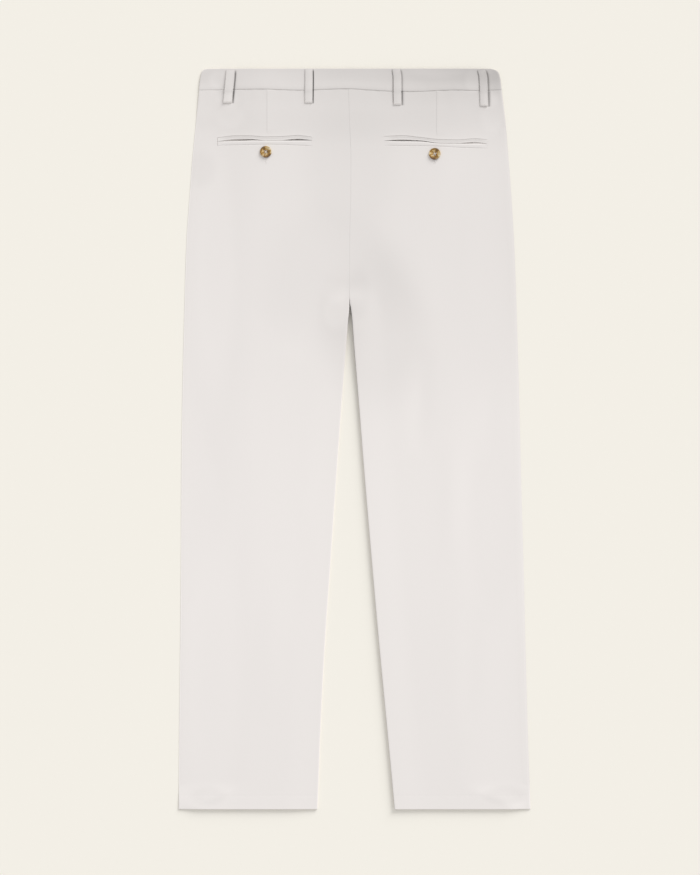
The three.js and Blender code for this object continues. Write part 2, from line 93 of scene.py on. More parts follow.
# The outline: down, outer left, inner left, inner right, outer right. Above the crotch both inner columns
# are the seat seam.
OUTLINE = np.array([
    (31.4, -218.4, -2.2, -2.2, 219.4),
    (74.8, -222.5, -0.6, -0.6, 224.7),
    (132.6, -228.1, 1.4, 1.4, 229.6),
    (190.4, -232.4, 1.0, 1.0, 233.9),
    (248.3, -236.3, -0.4, -0.4, 237.3),
    (338.0, -239.2, -0.6, -0.6, 240.8),
    (346.0, -239.4, -0.7, 1.0, 241.0),
    (366.0, -239.9, -2.7, 3.1, 241.6),
    (393.0, -240.6, -4.9, 5.0, 242.5),
    (479.6, -242.5, -11.7, 12.1, 244.9),
    (595.3, -243.9, -20.0, 21.3, 247.7),
    (711.0, -244.3, -27.9, 31.1, 250.9),
    (826.7, -245.4, -35.9, 41.3, 253.7),
    (942.4, -246.7, -42.0, 52.3, 256.8),
    (LENGTH, -247.9, -47.0, 64.3, 261.2),
])

# The middle of the outline, where the frame's origin lies
MIDDLE = 6.2

# Where the seat seam ends, how far above that the inner edge starts to roll, and where the rim rises from
CROTCH = 338.0
CROTCH_ROLL = 6.0
RIM_FROM = 300.0

# The folded ends of the waistband: down, left, right
BAND_ENDS = np.array([
    (0, -207.5, 203.5),
    (1.5, -212.0, 209.5),
    (4, -214.0, 213.8),
    (8.5, -215.7, 216.0),
    (17, -217.3, 217.8),
    (34, -218.9, 219.6),
])

# The waistband seam across the back: x, down
BAND_SEAM = np.array([
    (-219, 31.0), (-166, 30.5), (-127, 30.1), (-101, 31.0), (-72, 31.7), (-29, 30.3), (-4, 29.6), (29, 31.6),
    (61, 33.2), (101, 33.6), (124, 32.3), (159, 31.3), (180, 31.8), (219, 30.6),
])

# The waistband's rolled ends, and its lap at the centre front
BAND_ROLL = 2.4
LAP_UNDER = 36.0
LAP_BEND = 16.0

# Air between the layers away from the edges: down, gap
AIR = np.array([
    (0, 2.7), (60, 2.7), (200, 2.3), (338, 2.5), (480, 1.8), (760, 1.5), (1040, 1.7), (LENGTH, 2.0),
])

# How far in from the side seam and the inside leg the layers part fully
SIDE_BLEND = 105.0
SIDE_BLEND_AT_HEM = 34.0
INSIDE_BLEND = 48.0

# The front belt loops hold the waist off the floor between them.
LOOP_ROOM = 1.5
WAIST_GAP = 0.9
LOOP_ROOM_END = 56.0
FLAT_FROM = 110.0
LOOP_SPREAD = 150.0
DRAPE = 50.0

# Soft creases: x and down at both ends, width across, and rise, which is below zero for a trough
CREASES = [
    (30, 205, 116, 372, 22, 0.42),
    (22, 262, 66, 402, 24, -0.5),
    (108, 400, 96, 560, 15, -0.9),
    (150, 520, 142, 720, 18, 0.6),
    (214, 420, 198, 560, 13, -0.7),
    (178, 770, 170, 960, 17, -0.6),
    (-26, 226, -128, 360, 24, 0.6),
    (-20, 300, -82, 420, 24, -0.8),
    (-214, 500, -190, 640, 16, -0.45),
    (-150, 560, -168, 780, 20, -0.4),
    (-62, 640, -82, 830, 17, -0.35),
    (-112, 700, -120, 940, 20, 0.35),
]

# Pockets: x, upper seam, mouth, opening, lower seam
POCKETS = {
    "left": np.array([
        (-190.9, 99.6, 104.9, 0.2, 110.9),
        (-165.0, 97.0, 103.4, 3.2, 110.6),
        (-142.0, 97.3, 103.0, 2.0, 110.2),
        (-122.9, 98.8, 104.1, 0.25, 109.8),
        (-101.0, 98.5, 104.0, 0.3, 110.0),
        (-75.2, 96.9, 103.0, 2.8, 111.2),
        (-54.9, 99.3, 103.8, 0.2, 112.2),
    ]),
    "right": np.array([
        (49.6, 98.3, 104.3, 0.15, 111.2),
        (75.2, 97.2, 104.1, 2.5, 111.8),
        (101.2, 99.6, 104.8, 1.5, 112.1),
        (130.1, 102.7, 108.0, 0.5, 112.6),
        (156.2, 103.0, 108.0, 0.5, 114.0),
        (180.8, 101.2, 107.2, 2.6, 114.8),
        (198.1, 102.5, 108.3, 0.2, 115.0),
    ]),
}
MOUTH_SHARE = 0.8
POCKET_FADE = 18.0
END_FADE = 14.0

# How a lip rises from its seam to the mouth: share of the way, and height over the cloth around it
UPPER_LIP = np.array([
    (-0.14, -1.15), (0.0, -1.0), (0.03, -0.4), (0.1, -0.2), (0.25, -0.3), (0.45, -0.52), (0.6, -0.66),
    (0.74, -0.66), (0.93, -0.45), (0.985, -0.65), (1.0, -1.2),
])
LOWER_LIP = np.array([
    (-0.14, -1.1), (0.0, -0.65), (0.03, -0.18), (0.1, -0.02), (0.25, 0.06), (0.45, 0.14), (0.65, 0.2),
    (0.8, 0.2), (0.93, -0.02), (0.985, -0.25), (1.0, -0.8),
])

# Darts: x, and where they start and end
DARTS = {"left": (-119.8, 33.0, 96.5), "right": (124.9, 34.0, 100.0)}

# Pocket buttons and the slits below them: x, down, where the slit ends
BUTTONS = {"left": (-121.6, 120.6, 139.5), "right": (122.3, 123.5, 139.0)}
SLIT_DEPTH = {"left": 0.8, "right": 0.3}
BUTTON_RADIUS = 8.3
BUTTON_HEIGHT = 1.9
BUTTON_SINK = 0.75
BUTTON_TURN = {"left": 4, "right": -20}
BUTTON_GRAIN = {"left": 0, "right": 60}
HOLE_RADIUS = 0.95
HOLE_PLACE = 1.65

# Back belt loops: where they start and end, the x of their middle there and at the bend, their width, how
# deep the cloth is pressed beside them on the left and the right, how far beyond the right edge their painted
# shade is darkest, and how many steps darker that painted shade is on the waistband and below it
Loop = namedtuple(
    "Loop", "start end top_x bend_x end_x width left_dent right_dent reach band_shade low_shade")
BACK_LOOPS = {
    "belt_loop_side_left": Loop(2.0, 50.0, -172.8, -173.6, -177.1, 12.0, 0.0, 1.0, 1.7, 66, 90),
    "belt_loop_back_left": Loop(0.6, 50.6, -59.6, -59.4, -59.7, 10.6, 0.0, 1.0, 1.1, 117, 108),
    "belt_loop_back_right": Loop(0.6, 53.4, 66.4, 68.1, 68.3, 10.7, 1.1, 0.6, 1.8, 27, 64),
    "belt_loop_side_right": Loop(2.0, 54.5, 189.7, 192.3, 193.6, 10.8, 1.3, 0.8, 2.0, 31, 70),
}
LOOP_BEND = 14.0
LOOP_TURN = 0.8
LOOP_TWILL = 0.55
LOOP_SLACK = 0.3

# Front belt loops: the x of their middle, and where they end
FRONT_LOOPS = {"belt_loop_front_left": (-112, 51), "belt_loop_front_right": (112, 51)}
FRONT_LOOP_WIDTH = 10.4

# How light the cloth is: its own colour with painted shade, darker at the waist and above all at its right,
# lightest at the knees, in steps from 0 to 255: down, at the left, the middle and the right
TONES_WITH_PAINTED_SHADE = np.array([
    (0, 213, 206, 190),
    (12, 212, 204, 191),
    (26, 216, 212, 203),
    (36, 219, 215, 208),
    (60, 222, 219, 215),
    (140, 227, 225, 226.5),
    (250, 228, 227, 227),
    (400, 230, 229, 228.5),
    (640, 232, 231, 231),
    (900, 229.5, 229.5, 228.5),
    (LENGTH, 228.5, 228.5, 227.5),
])
CLOTH_TINT = (1.043, 0.994, 0.964)

# Soft patches of painted shade and painted light: darker over the seat and lighter or darker down the sides,
# at the waist and at the hem corners: x, down, half width, half height, and how many steps darker
PAINTED_SHADE_PATCHES = np.array([
    (-2, 150, 70, 110, 2.3),
    (-22, 305, 118, 110, 2.9),
    (42, 370, 75, 125, 4.2),
    (12, 325, 18, 40, 3),
    (-20, 352, 19, 26, -4),
    (-196, 290, 32, 190, -2.6),
    (-216, 145, 24, 28, 3.5),
    (-208, 44, 26, 32, -3.5),
    (-190, 16, 15, 15, -6),
    (-176, 46, 17, 13, -4),
    (-173, 70, 22, 18, -4),
    (-200, 880, 46, 210, -2.5),
    (128, 4, 46, 9, -5),
    (178, 18, 13, 17, -6),
    (213, 18, 12, 19, 5),
    (198, 45, 17, 13, -4),
    (206, 66, 18, 30, -4),
    (200, 270, 62, 220, 2.4),
    (208, 655, 38, 160, 2),
    (-205, 1051, 26, 14, 5),
    (226, 1050, 32, 14, 6),
])

# Little light comes back from the walls of the narrow gap below the crotch, and the right leg's inner edge
# is turned from the light: down, and how many steps darker the left and the right leg's edge is
NOTCH = np.array([
    (337, 0, 0),
    (343, 45, 45),
    (350, 95, 105),
    (362, 80, 138),
    (380, 0, 138),
    (400, 0, 132),
    (470, 0, 80),
    (560, 0, 32),
    (LENGTH, 0, 26),
])
NOTCH_WIDTH = 0.34

# How many steps paler the outer left edge is, which would look too dark turned from the light
LEFT_EDGE = 10


def put(x, down, z):
    """Points in the frame's metres, from millimetres on the garment."""
    x, down, z = np.broadcast_arrays(x, down, z)
    return np.stack([x - MIDDLE, LENGTH / 2 - down, z], axis=-1) * MM


def ease(t):
    """A smooth step from 0 to 1."""
    t = np.clip(t, 0.0, 1.0)
    return t * t * (3 - 2 * t)


def mix(a, b, t):
    return a + (b - a) * t


def bell(distance, width):
    return np.exp(-((distance / width) ** 2))


def curve(places, values):
    """A smooth curve through the values that never overshoots them."""
    x = np.asarray(places, float)
    y = np.asarray(values, float)
    slope = np.diff(y) / np.diff(x)
    before, after = slope[:-1], slope[1:]
    both = np.where(before + after == 0, 1, before + after)
    inner = np.where(before * after > 0, 2 * before * after / both, 0)
    tangent = np.concatenate([slope[:1], inner, slope[-1:]])

    def at(place):
        p = np.clip(place, x[0], x[-1])
        i = np.clip(np.searchsorted(x, p, side="right") - 1, 0, len(x) - 2)
        span = x[i + 1] - x[i]
        t = (p - x[i]) / span
        bend = span * (tangent[i] * t * (1 - t) ** 2 - tangent[i + 1] * t * t * (1 - t))
        return mix(y[i], y[i + 1], ease(t)) + bend

    return at


def curves(table):
    """A smooth curve for each further column of a table, over its first column."""
    return [curve(table[:, 0], column) for column in table[:, 1:].T]


outer_left, inner_left, inner_right, outer_right = curves(OUTLINE)
OUTER = {"left": outer_left, "right": outer_right}
INNER = {"left": inner_left, "right": inner_right}
RIM = dict(zip(SIDES, curves(INSIDE_RIM)))
POCKET_LINES = {side: curves(rows) for side, rows in POCKETS.items()}
band_left, band_right = curves(BAND_ENDS)
band_seam, = curves(BAND_SEAM)
air_gap, = curves(AIR)


def waves(x, down, size, seed):
    """Gentle unevenness between about -1 and 1, with swells of the given size in millimetres."""
    x, down = np.broadcast_arrays(x, down)
    flat = [noise.noise(Vector((a / size, b / size, seed))) for a, b in zip(x.ravel(), down.ravel())]
    return np.array(flat).reshape(x.shape)


def crease_height(x, down):
    total = np.zeros(np.broadcast(x, down).shape)
    for x0, down0, x1, down1, width, rise in CREASES:
        ax, ad = x1 - x0, down1 - down0
        t = ((x - x0) * ax + (down - down0) * ad) / (ax * ax + ad * ad)
        inside = np.clip(t, 0, 1)
        off = np.hypot(x - x0 - inside * ax, down - down0 - inside * ad)
        total += rise * np.sin(math.pi * inside) * bell(off, width)
    return total


def loop_lift(x, down):
    """How far the front cloth is held off the floor by the belt loops under it."""
    along = 1 - ease((down - LOOP_ROOM_END) / (FLAT_FROM - LOOP_ROOM_END))
    across = 1 - ease((np.abs(x) - LOOP_SPREAD) / DRAPE)
    return LOOP_ROOM * along * across


def loop_middle(loop, down):
    return curve([loop.start, LOOP_BEND, loop.end], [loop.top_x, loop.bend_x, loop.end_x])(down)


def loop_creases(x, down):
    """Narrow creases pressed into the cloth beside each belt loop and under its lower end."""
    total = np.zeros(np.broadcast(x, down).shape)
    for loop in BACK_LOOPS.values():
        half = loop.width / 2
        off = x - loop_middle(loop, down)
        wide = np.where(off < 0, 0.5, 0.6 * loop.reach)
        beside = bell(np.abs(off) - half - wide, wide) * np.where(off < 0, loop.left_dent, loop.right_dent)
        beside = beside * mix(1, 1.3, ease((down - BAND_SEAM_LEVEL) / 4))
        along = ease((down - loop.start) / 5) * (1 - ease((down - loop.end + 7) / 8))
        below = 0.3 * bell(down - loop.end - 0.6, 0.6) * (1 - ease((np.abs(off) - half + 1) / 2))
        total -= beside * along + below
    return total


def loop_shade(x, down):
    """How many steps of painted shade darken the cloth in the creases on the right of the belt loops."""
    total = np.zeros(np.broadcast(x, down).shape)
    for loop in BACK_LOOPS.values():
        off = x - loop_middle(loop, down) - loop.width / 2
        along = ease((down - loop.start) / 5) * (1 - ease((down - loop.end + 0.6) / 1.4))
        steps = mix(loop.band_shade, loop.low_shade, ease((down - BAND_SEAM_LEVEL) / 3))
        total += steps * along * bell(off - loop.reach, 0.8 * loop.reach)
    return total


def band_proud(x):
    """How far the waistband stands above the cloth below it: less at its folded ends."""
    return BAND_PROUD * (1 - 0.6 * ease((np.abs(x) - 168) / 32))


def rolled(down):
    """How far the inner edge is rolled over: 0 at the seat seam, 1 along the inside leg."""
    return ease((down - CROTCH + CROTCH_ROLL) / CROTCH_ROLL)


def at_hem(down):
    return ease((down - LENGTH + HEM_FADE) / HEM_FADE)


def side_rim(down):
    rim = mix(SIDE_RIM_AT_WAIST, SIDE_RIM, ease((down - BAND_SEAM_LEVEL) / WAIST_FADE))
    return mix(rim, SIDE_RIM_AT_HEM, at_hem(down))


def back_height(x, down):
    """The back cloth's upper surface, without its sewing."""
    to_side = np.minimum(np.abs(x - outer_left(down)), np.abs(x - outer_right(down)))
    to_inside = np.minimum(np.abs(x - inner_left(down)), np.abs(x - inner_right(down)))
    rim = np.where(x > inner_left(down), RIM["right"](down), RIM["left"](down))
    full = 2 * CAD_TWILL + air_gap(down) + crease_height(x, down)
    blend = mix(SIDE_BLEND, SIDE_BLEND_AT_HEM, at_hem(down))
    height = mix(side_rim(down), full, ease(to_side / blend))
    at_inside = ease((down - RIM_FROM) / (CROTCH - RIM_FROM)) * (1 - ease(to_inside / INSIDE_BLEND))
    height = mix(height, rim, at_inside) + loop_lift(x, down)
    closed = side_rim(0) + WAIST_GAP + 0.4 * loop_lift(x, down)
    return mix(np.minimum(closed, height), height, ease(down / BAND_SEAM_LEVEL))


def spaced(marks):
    """Places from the first mark to the last, no further apart than each mark's own step."""
    places = []
    for (start, step), (end, _) in zip(marks, marks[1:]):
        count = math.ceil((end - start) / step)
        places += list(np.linspace(start, end, count, endpoint=False))
    return np.array(places + [marks[-1][0]])


def select_only(obj):
    bpy.ops.object.select_all(action="DESELECT")
    obj.select_set(True)
    bpy.context.view_layer.objects.active = obj


def smooth(obj, degrees=40):
    select_only(obj)
    bpy.ops.object.shade_smooth_by_angle(angle=math.radians(degrees))
    return obj


def mesh_object(name, points, faces):
    """A new object from points in metres, turned so that its faces point outwards."""
    mesh = bpy.data.meshes.new(name)
    mesh.from_pydata([tuple(p) for p in points], [], faces)
    work = bmesh.new()
    work.from_mesh(mesh)
    if work.calc_volume(signed=True) < 0:
        bmesh.ops.reverse_faces(work, faces=work.faces[:])
    work.to_mesh(mesh)
    work.free()
    obj = bpy.data.objects.new(name, mesh)
    bpy.context.scene.collection.objects.link(obj)
    return obj


def shell(name, outer, inner, present=None):
    """A closed thin wall between two matching grids of points, open where a cell isn't present."""
    rows, columns = outer.shape[:2]
    if present is None:
        present = np.ones((rows - 1, columns - 1), bool)
    index = np.arange(rows * columns).reshape(rows, columns)
    under = index + rows * columns
    r, c = np.nonzero(present)
    top = np.stack([index[r, c], index[r + 1, c], index[r + 1, c + 1], index[r, c + 1]], axis=1)
    bottom = np.stack([under[r, c], under[r, c + 1], under[r + 1, c + 1], under[r + 1, c]], axis=1)
    faces = top.tolist() + bottom.tolist()
    padded = np.zeros((rows + 1, columns + 1), bool)
    padded[1:-1, 1:-1] = present
    for a, b in zip(*np.nonzero(padded[:-1, 1:-1] != padded[1:, 1:-1])):
        start, end = (b, b + 1) if padded[a + 1, b + 1] else (b + 1, b)
        faces.append([index[a, start], index[a, end], under[a, end], under[a, start]])
    for a, b in zip(*np.nonzero(padded[1:-1, :-1] != padded[1:-1, 1:])):
        start, end = (a + 1, a) if padded[a + 1, b + 1] else (a, a + 1)
        faces.append([index[start, b], index[end, b], under[end, b], under[start, b]])
    points = np.concatenate([outer.reshape(-1, 3), inner.reshape(-1, 3)])
    used = np.zeros(len(points), bool)
    used[np.unique(np.concatenate([np.ravel(f) for f in faces]))] = True
    new_index = np.cumsum(used) - 1
    faces = [[int(new_index[i]) for i in f] for f in faces]
    return mesh_object(name, points[used], faces)


def tube(name, sections):
    """A closed piece from closed sections, one after another, with flat ends."""
    count, around = sections.shape[:2]
    index = np.arange(count * around).reshape(count, around)
    turned = np.roll(index, -1, axis=1)
    sides = np.stack([index[:-1], turned[:-1], turned[1:], index[1:]], axis=-1).reshape(-1, 4)
    faces = sides.tolist() + [index[0][::-1].tolist(), index[-1].tolist()]
    return mesh_object(name, sections.reshape(-1, 3), faces)


# The panels' rows, closer together at the sewing: down, and the step from there on
BACK_ROWS = spaced([
    (BAND_SEAM_LEVEL, 0.4), (33, 0.9), (37, 2), (48, 0.9), (56, 2.5), (90, 1.2), (96, 0.5), (97.2, 0.27),
    (98, 1.6), (110.6, 0.27), (111.4, 0.5), (112.6, 1.2), (118, 2), (146, 4), (322, 2.5), (345, 6), (1044, 2),
    (1048, 0.9), (1053, 4), (1067, 1), (1069.4, 0.2), (LENGTH, 0),
])
FRONT_ROWS = spaced([
    (BAND_SEAM_LEVEL, 4), (120, 12), (300, 5), (350, 12), (1040, 6), (1069.3, 0.18), (LENGTH, 0),
])
UPPER_ROW = 98.0
LOWER_ROW = 110.6
COLUMN_STEP = 2.6
FINE_STEP = 0.4
FRONT_STEP = 12.0
ROLL_STEPS = 8


def back_columns(side):
    """Columns across a back panel at the pocket, closer at the dart, the pocket's ends and the belt loops:
    the marks that stay straight, and the places."""
    pocket_start, pocket_end = POCKETS[side][[0, -1], 0]
    dart = DARTS[side][0]
    level = (UPPER_ROW + LOWER_ROW) / 2
    first, last = sorted([OUTER[side](level), INNER[side](level)])
    fine = [(dart - 2, dart + 2)]
    for end in (pocket_start, pocket_end):
        fine += [(end - 0.8, end), (end, end + 0.8)]
    for loop in BACK_LOOPS.values():
        x, half = loop_middle(loop, 42), loop.width / 2
        if (x < 0) == (side == "left"):
            fine += [(x - half - 2, x - half + 0.6), (x + half - 0.6, x + half + 4)]
    marks = [(first, COLUMN_STEP)]
    for low, high in sorted(fine):
        low = max(low, marks[-1][0])
        if high > low:
            marks += [(low, FINE_STEP), (high, COLUMN_STEP)]
    return [first, pocket_start, dart, pocket_end, last], spaced(marks + [(last, 0)])


def row_marks(side, marks, down):
    """Where the columns' marks are on one row: straight past the pocket, then spread down the leg."""
    first, last = sorted([OUTER[side](down), INNER[side](down)])
    straight = 1 - ease((down - 130) / 170)
    shares = [(m - marks[0]) / (marks[-1] - marks[0]) for m in marks]
    middle = [mix(mix(first, last, s), m, straight) for m, s in zip(marks, shares)][1:-1]
    return [first, *middle, last]


def follow_seams(side, level, x):
    """Bends the rows so that they follow the waistband seam and the pocket's two seams."""
    fade = 1 - ease((level - BAND_SEAM_LEVEL) / 50)
    down = level + (band_seam(x) - BAND_SEAM_LEVEL) * fade
    upper, _, _, lower = POCKET_LINES[side]
    places = [UPPER_ROW - POCKET_FADE, UPPER_ROW, LOWER_ROW, LOWER_ROW + POCKET_FADE]
    share = np.interp(level, places, [0, 0, 1, 1])
    near = np.interp(level, places, [0, 1, 1, 0])
    return down + mix(upper(x) - UPPER_ROW, lower(x) - LOWER_ROW, share) * near


def pressed_step(off):
    """The small step along a seam whose allowances are pressed to the right."""
    return ease((off + 0.5) / 1.0) * np.exp(-np.maximum(off, 0) / 9)


def sewing(side, level, x, down):
    """What the sewing does to a back panel's surface: dips at the seams, the dart and the hem."""
    from_band = level - BAND_SEAM_LEVEL
    height = band_proud(x) / BAND_PROUD * (-0.22 * bell(from_band, 0.9) - 0.12 * bell(from_band, 5))
    height += 0.3 * waves(x, down * 0.4, 11, 3.0) * np.exp(-from_band / 9)
    height += loop_creases(x, down)
    dart_x, dart_start, dart_end = DARTS[side]
    along = ease((down - dart_start + 4) / 4) * (1 - ease((down - dart_end + 10) / 10))
    height = height + along * 0.34 * pressed_step(x - dart_x)
    height += (1 - rolled(down)) * 0.15 * pressed_step(x - INNER[side](down))
    upper, _, _, lower = (line(x) for line in POCKET_LINES[side])
    first, last = POCKETS[side][[0, -1], 0]
    out_down = np.maximum(np.maximum(upper - down, down - lower), 0)
    out_x = np.maximum(np.maximum(first - x, x - last), 0)
    height -= np.where(out_x > 0, 0.0, 0.15) * bell(np.hypot(out_down, out_x), 0.5)
    over_mouth = ease((x - first + 2) / 4) * ease((last + 2 - x) / 4)
    height += 0.2 * over_mouth * np.where(down < upper, np.exp(-np.abs(upper - down) / 2.2), 0)
    button_x, button_down, slit_end = BUTTONS[side]
    below = down - button_down
    open_slit = ease(below / 3) * (1 - ease((below - 8) / (slit_end - button_down - 8)))
    height -= SLIT_DEPTH[side] * open_slit * bell(x - button_x, 0.45)
    dimple = 0.6 + 0.4 * np.cos(2 * math.pi * x / HEM_STITCH)
    height -= 0.08 * dimple * bell(down - HEM_LINE, 1.4)
    return height


def hem_round(level, thickness):
    """How far the surface turns in at the folded bottom edge of the hem."""
    s = np.clip((level - LENGTH + thickness / 2) / (thickness / 2), 0, 1)
    return thickness / 2 * (1 - np.sqrt(1 - s * s))


def face_height(side, layer, level, x):
    """The height of a panel's outer face along one row."""
    if layer == "front":
        return loop_lift(x, level)
    down = follow_seams(side, level, x)
    return back_height(x, down) + sewing(side, level, x, down)


def without_pocket(side, rows, outer):
    """The cells of a back panel, left out under the pocket's lips."""
    present = np.ones((outer.shape[0] - 1, outer.shape[1] - 1), bool)
    cut_rows = (rows[:-1] >= UPPER_ROW - 1e-6) & (rows[1:] <= LOWER_ROW + 1e-6)
    middle_row = np.argmin(np.abs(rows - (UPPER_ROW + LOWER_ROW) / 2))
    at = outer[middle_row, :, 0] / MM + MIDDLE
    middles = (at[:-1] + at[1:]) / 2
    first, last = POCKETS[side][[0, -1], 0]
    present[np.ix_(cut_rows, (middles > first) & (middles < last))] = False
    return present


def panel(side, layer):
    """A leg panel as a thin wall: rolled side seam, face, and an inner edge that is square at the seat
    seam and rolled along the leg."""
    is_back = layer == "back"
    toward = 1 if side == "left" else -1
    sign = 1 if is_back else -1
    rows = BACK_ROWS if is_back else FRONT_ROWS
    if is_back:
        marks, columns = back_columns(side)
    else:
        marks = sorted([OUTER[side](100), INNER[side](100)])
        columns = spaced([(marks[0], FRONT_STEP), (marks[-1], 0)])
    outer, inner = [], []
    angles = np.linspace(0, math.pi / 2, ROLL_STEPS + 1)
    for level in rows:
        side_x = OUTER[side](level)
        inside_x = INNER[side](level) - toward * SEAM / 2
        side_z = loop_lift(side_x, level) + side_rim(level) / 2 + sign * SEAM / 2
        inside_z = loop_lift(inside_x, level) + RIM[side](level) / 2 + sign * SEAM / 2
        start = side_x + toward * SIDE_ROLL
        end = inside_x - toward * INSIDE_ROLL
        targets = row_marks(side, marks, level) if is_back else sorted([side_x, inside_x])
        x = np.interp(columns, marks, targets)[::toward]
        x = mix(start, end, (x - side_x) / (inside_x - side_x))[1:-1]
        z = face_height(side, layer, level, x)
        tilt = np.gradient(z, x) if is_back else np.zeros_like(z)
        at_start, at_end = face_height(side, layer, level, np.array([start, end]))
        side_height = abs(at_start - side_z)
        side_points = start - toward * SIDE_ROLL * np.cos(angles)
        side_zs = side_z + sign * side_height * np.sin(angles)
        inside_height = abs(at_end - inside_z)
        share = float(rolled(level))
        flat_x = np.linspace(end, inside_x, ROLL_STEPS + 1)
        flat_z = face_height(side, layer, level, flat_x)
        inside_points = mix(flat_x, end + toward * INSIDE_ROLL * np.sin(angles), share)
        inside_zs = mix(flat_z, inside_z + sign * inside_height * np.cos(angles), share)
        xs = np.concatenate([side_points, x, inside_points])
        zs = np.concatenate([side_zs, z, inside_zs])
        nx = np.concatenate([
            -toward * side_height * np.cos(angles), -tilt * sign,
            share * toward * inside_height * np.sin(angles)])
        nz = np.concatenate([
            sign * SIDE_ROLL * np.sin(angles), np.full_like(z, sign),
            sign * mix(1, INSIDE_ROLL * np.cos(angles), share)])
        size = np.hypot(nx, nz)
        nx, nz = nx / size, nz / size
        down = follow_seams(side, level, xs) if is_back else np.full_like(xs, level)
        if level == rows[0]:
            down = down + SEAM
        extra = HEM_EXTRA * ease((level - HEM_LINE) / 1.5) * ease(np.abs(xs - side_x) / SIDE_BLEND_AT_HEM)
        single = TWILL * mix(SIDE_TWILL_SHARE, 1, ease(np.abs(xs - side_x) / SIDE_ROLL))
        turn = hem_round(level, single)
        wall = single + extra - turn
        outer.append(put(xs - nx * turn, down, zs - nz * turn))
        inner.append(put(xs - nx * wall, down, np.maximum(zs - nz * wall, UNDERSIDE)))
    outer, inner = np.array(outer), np.array(inner)
    present = without_pocket(side, rows, outer) if is_back else None
    return smooth(shell(f"{layer}_{side}_cloth", outer, inner, present))


def pocket_lip(side, is_upper):
    """One folded lip of a pocket: it rises from its seam, crowns and rolls under at the mouth."""
    start, end = POCKETS[side][[0, -1], 0]
    x = spaced([(start - 1.4, 0.3), (start + 1, 1.4), (end - 1, 0.3), (end + 1.4, 0)])
    upper, mouth, opening, lower = (line(x) for line in POCKET_LINES[side])
    seam = upper if is_upper else lower
    edge = mouth + (-1 if is_upper else 1) * opening * MOUTH_SHARE / 2
    inside_ends = ease((x - start + 0.9) / 0.65) * ease((end + 0.9 - x) / 0.65)
    worn = ease((x - start + 1) / END_FADE) * ease((end + 1 - x) / END_FADE)
    uneven = 1 + 0.35 * waves(x, 0, 17, 5.0 if is_upper else 8.0)
    outer, inner = [], []
    for share, rise in UPPER_LIP if is_upper else LOWER_LIP:
        down = mix(seam, edge, share)
        base = back_height(x, down)
        height = np.where(rise > 0, rise * uneven, rise) + np.zeros_like(x)
        if 0 < share < 1:
            height = mix(-0.03, height, worn)
        height = mix(-1.15, height, inside_ends)
        # Just clear of the front cloth below
        lowest = loop_lift(x, down) + TWILL + 0.1
        outer.append(put(x, down, np.maximum(base + height, lowest + 0.2)))
        under = np.maximum(base + np.minimum(height, 0) - 0.8, lowest)
        inner.append(put(x, mix(seam, edge, mix(0.0, 0.8, share)), under))
    name = f"pocket_lip_{'upper' if is_upper else 'lower'}_{side}_cloth"
    return smooth(shell(name, np.array(outer), np.array(inner)), 60)


def band_marks(down):
    """The back of the waistband at one level, closer together beside the belt loops: x, and the step."""
    marks = [(float(band_left(down)) + BAND_ROLL, 2.4)]
    for loop in BACK_LOOPS.values():
        x, half = float(loop_middle(loop, down)), loop.width / 2
        marks += [(x - half - 2.2, 0.4), (x - half + 1.4, 2.4), (x + half - 1.4, 0.4), (x + half + 4, 2.4)]
    return marks + [(float(band_right(down)) - BAND_ROLL, 0)]


def band_path(down):
    """The waistband's path round the waist at one level, from the lapped end to the other end: x, z and
    the direction it faces."""
    left, right = float(band_left(down)), float(band_right(down))
    centre = float(inner_left(BAND_SEAM_LEVEL))
    under_height = LOOP_ROOM + BAND_TWILL + 0.2
    angle = np.linspace(-math.pi / 2, math.pi / 2, 15)

    def low(x):
        return loop_lift(np.asarray(x, float), down)

    def high(x):
        return back_height(np.asarray(x, float), down) + band_proud(x)

    def run(x, z, facing):
        return x, z, np.zeros_like(x), np.full_like(x, facing)

    def fold(end, outward):
        near = end - outward * BAND_ROLL
        bottom, top = float(low(near)), float(high(near))
        half = (top - bottom) / 2
        x = near + outward * BAND_ROLL * np.cos(angle)
        z = bottom + half * (1 + np.sin(angle))
        return x, z, outward * half * np.cos(angle), BAND_ROLL * np.sin(angle)

    under_x = np.linspace(centre - LAP_UNDER, centre, 6, endpoint=False)
    bend = np.linspace(0, 1, 9)
    bend_x = centre + 1 + LAP_BEND * bend
    front_right = np.linspace(centre + 1 + LAP_BEND, right - BAND_ROLL, 14)[1:-1]
    front_left = np.linspace(left + BAND_ROLL, centre - 0.2, 14)[1:]
    at_bend, here = band_marks(LOOP_BEND), band_marks(down)
    back = np.interp(spaced(at_bend), [m[0] for m in at_bend], [m[0] for m in here])[::-1][1:-1]
    groups = [
        run(under_x, np.full_like(under_x, under_height), -1),
        run(bend_x, mix(under_height, low(bend_x), ease(bend)), -1),
        run(front_right, low(front_right), -1),
        fold(right, 1),
        run(back, high(back), 1),
        tuple(a[::-1] for a in fold(left, -1)),
        run(front_left, low(front_left), -1),
    ]
    x, z, nx, nz = (np.concatenate([g[i] for g in groups]) for i in range(4))
    size = np.hypot(nx, nz)
    return x, z, nx / size, nz / size


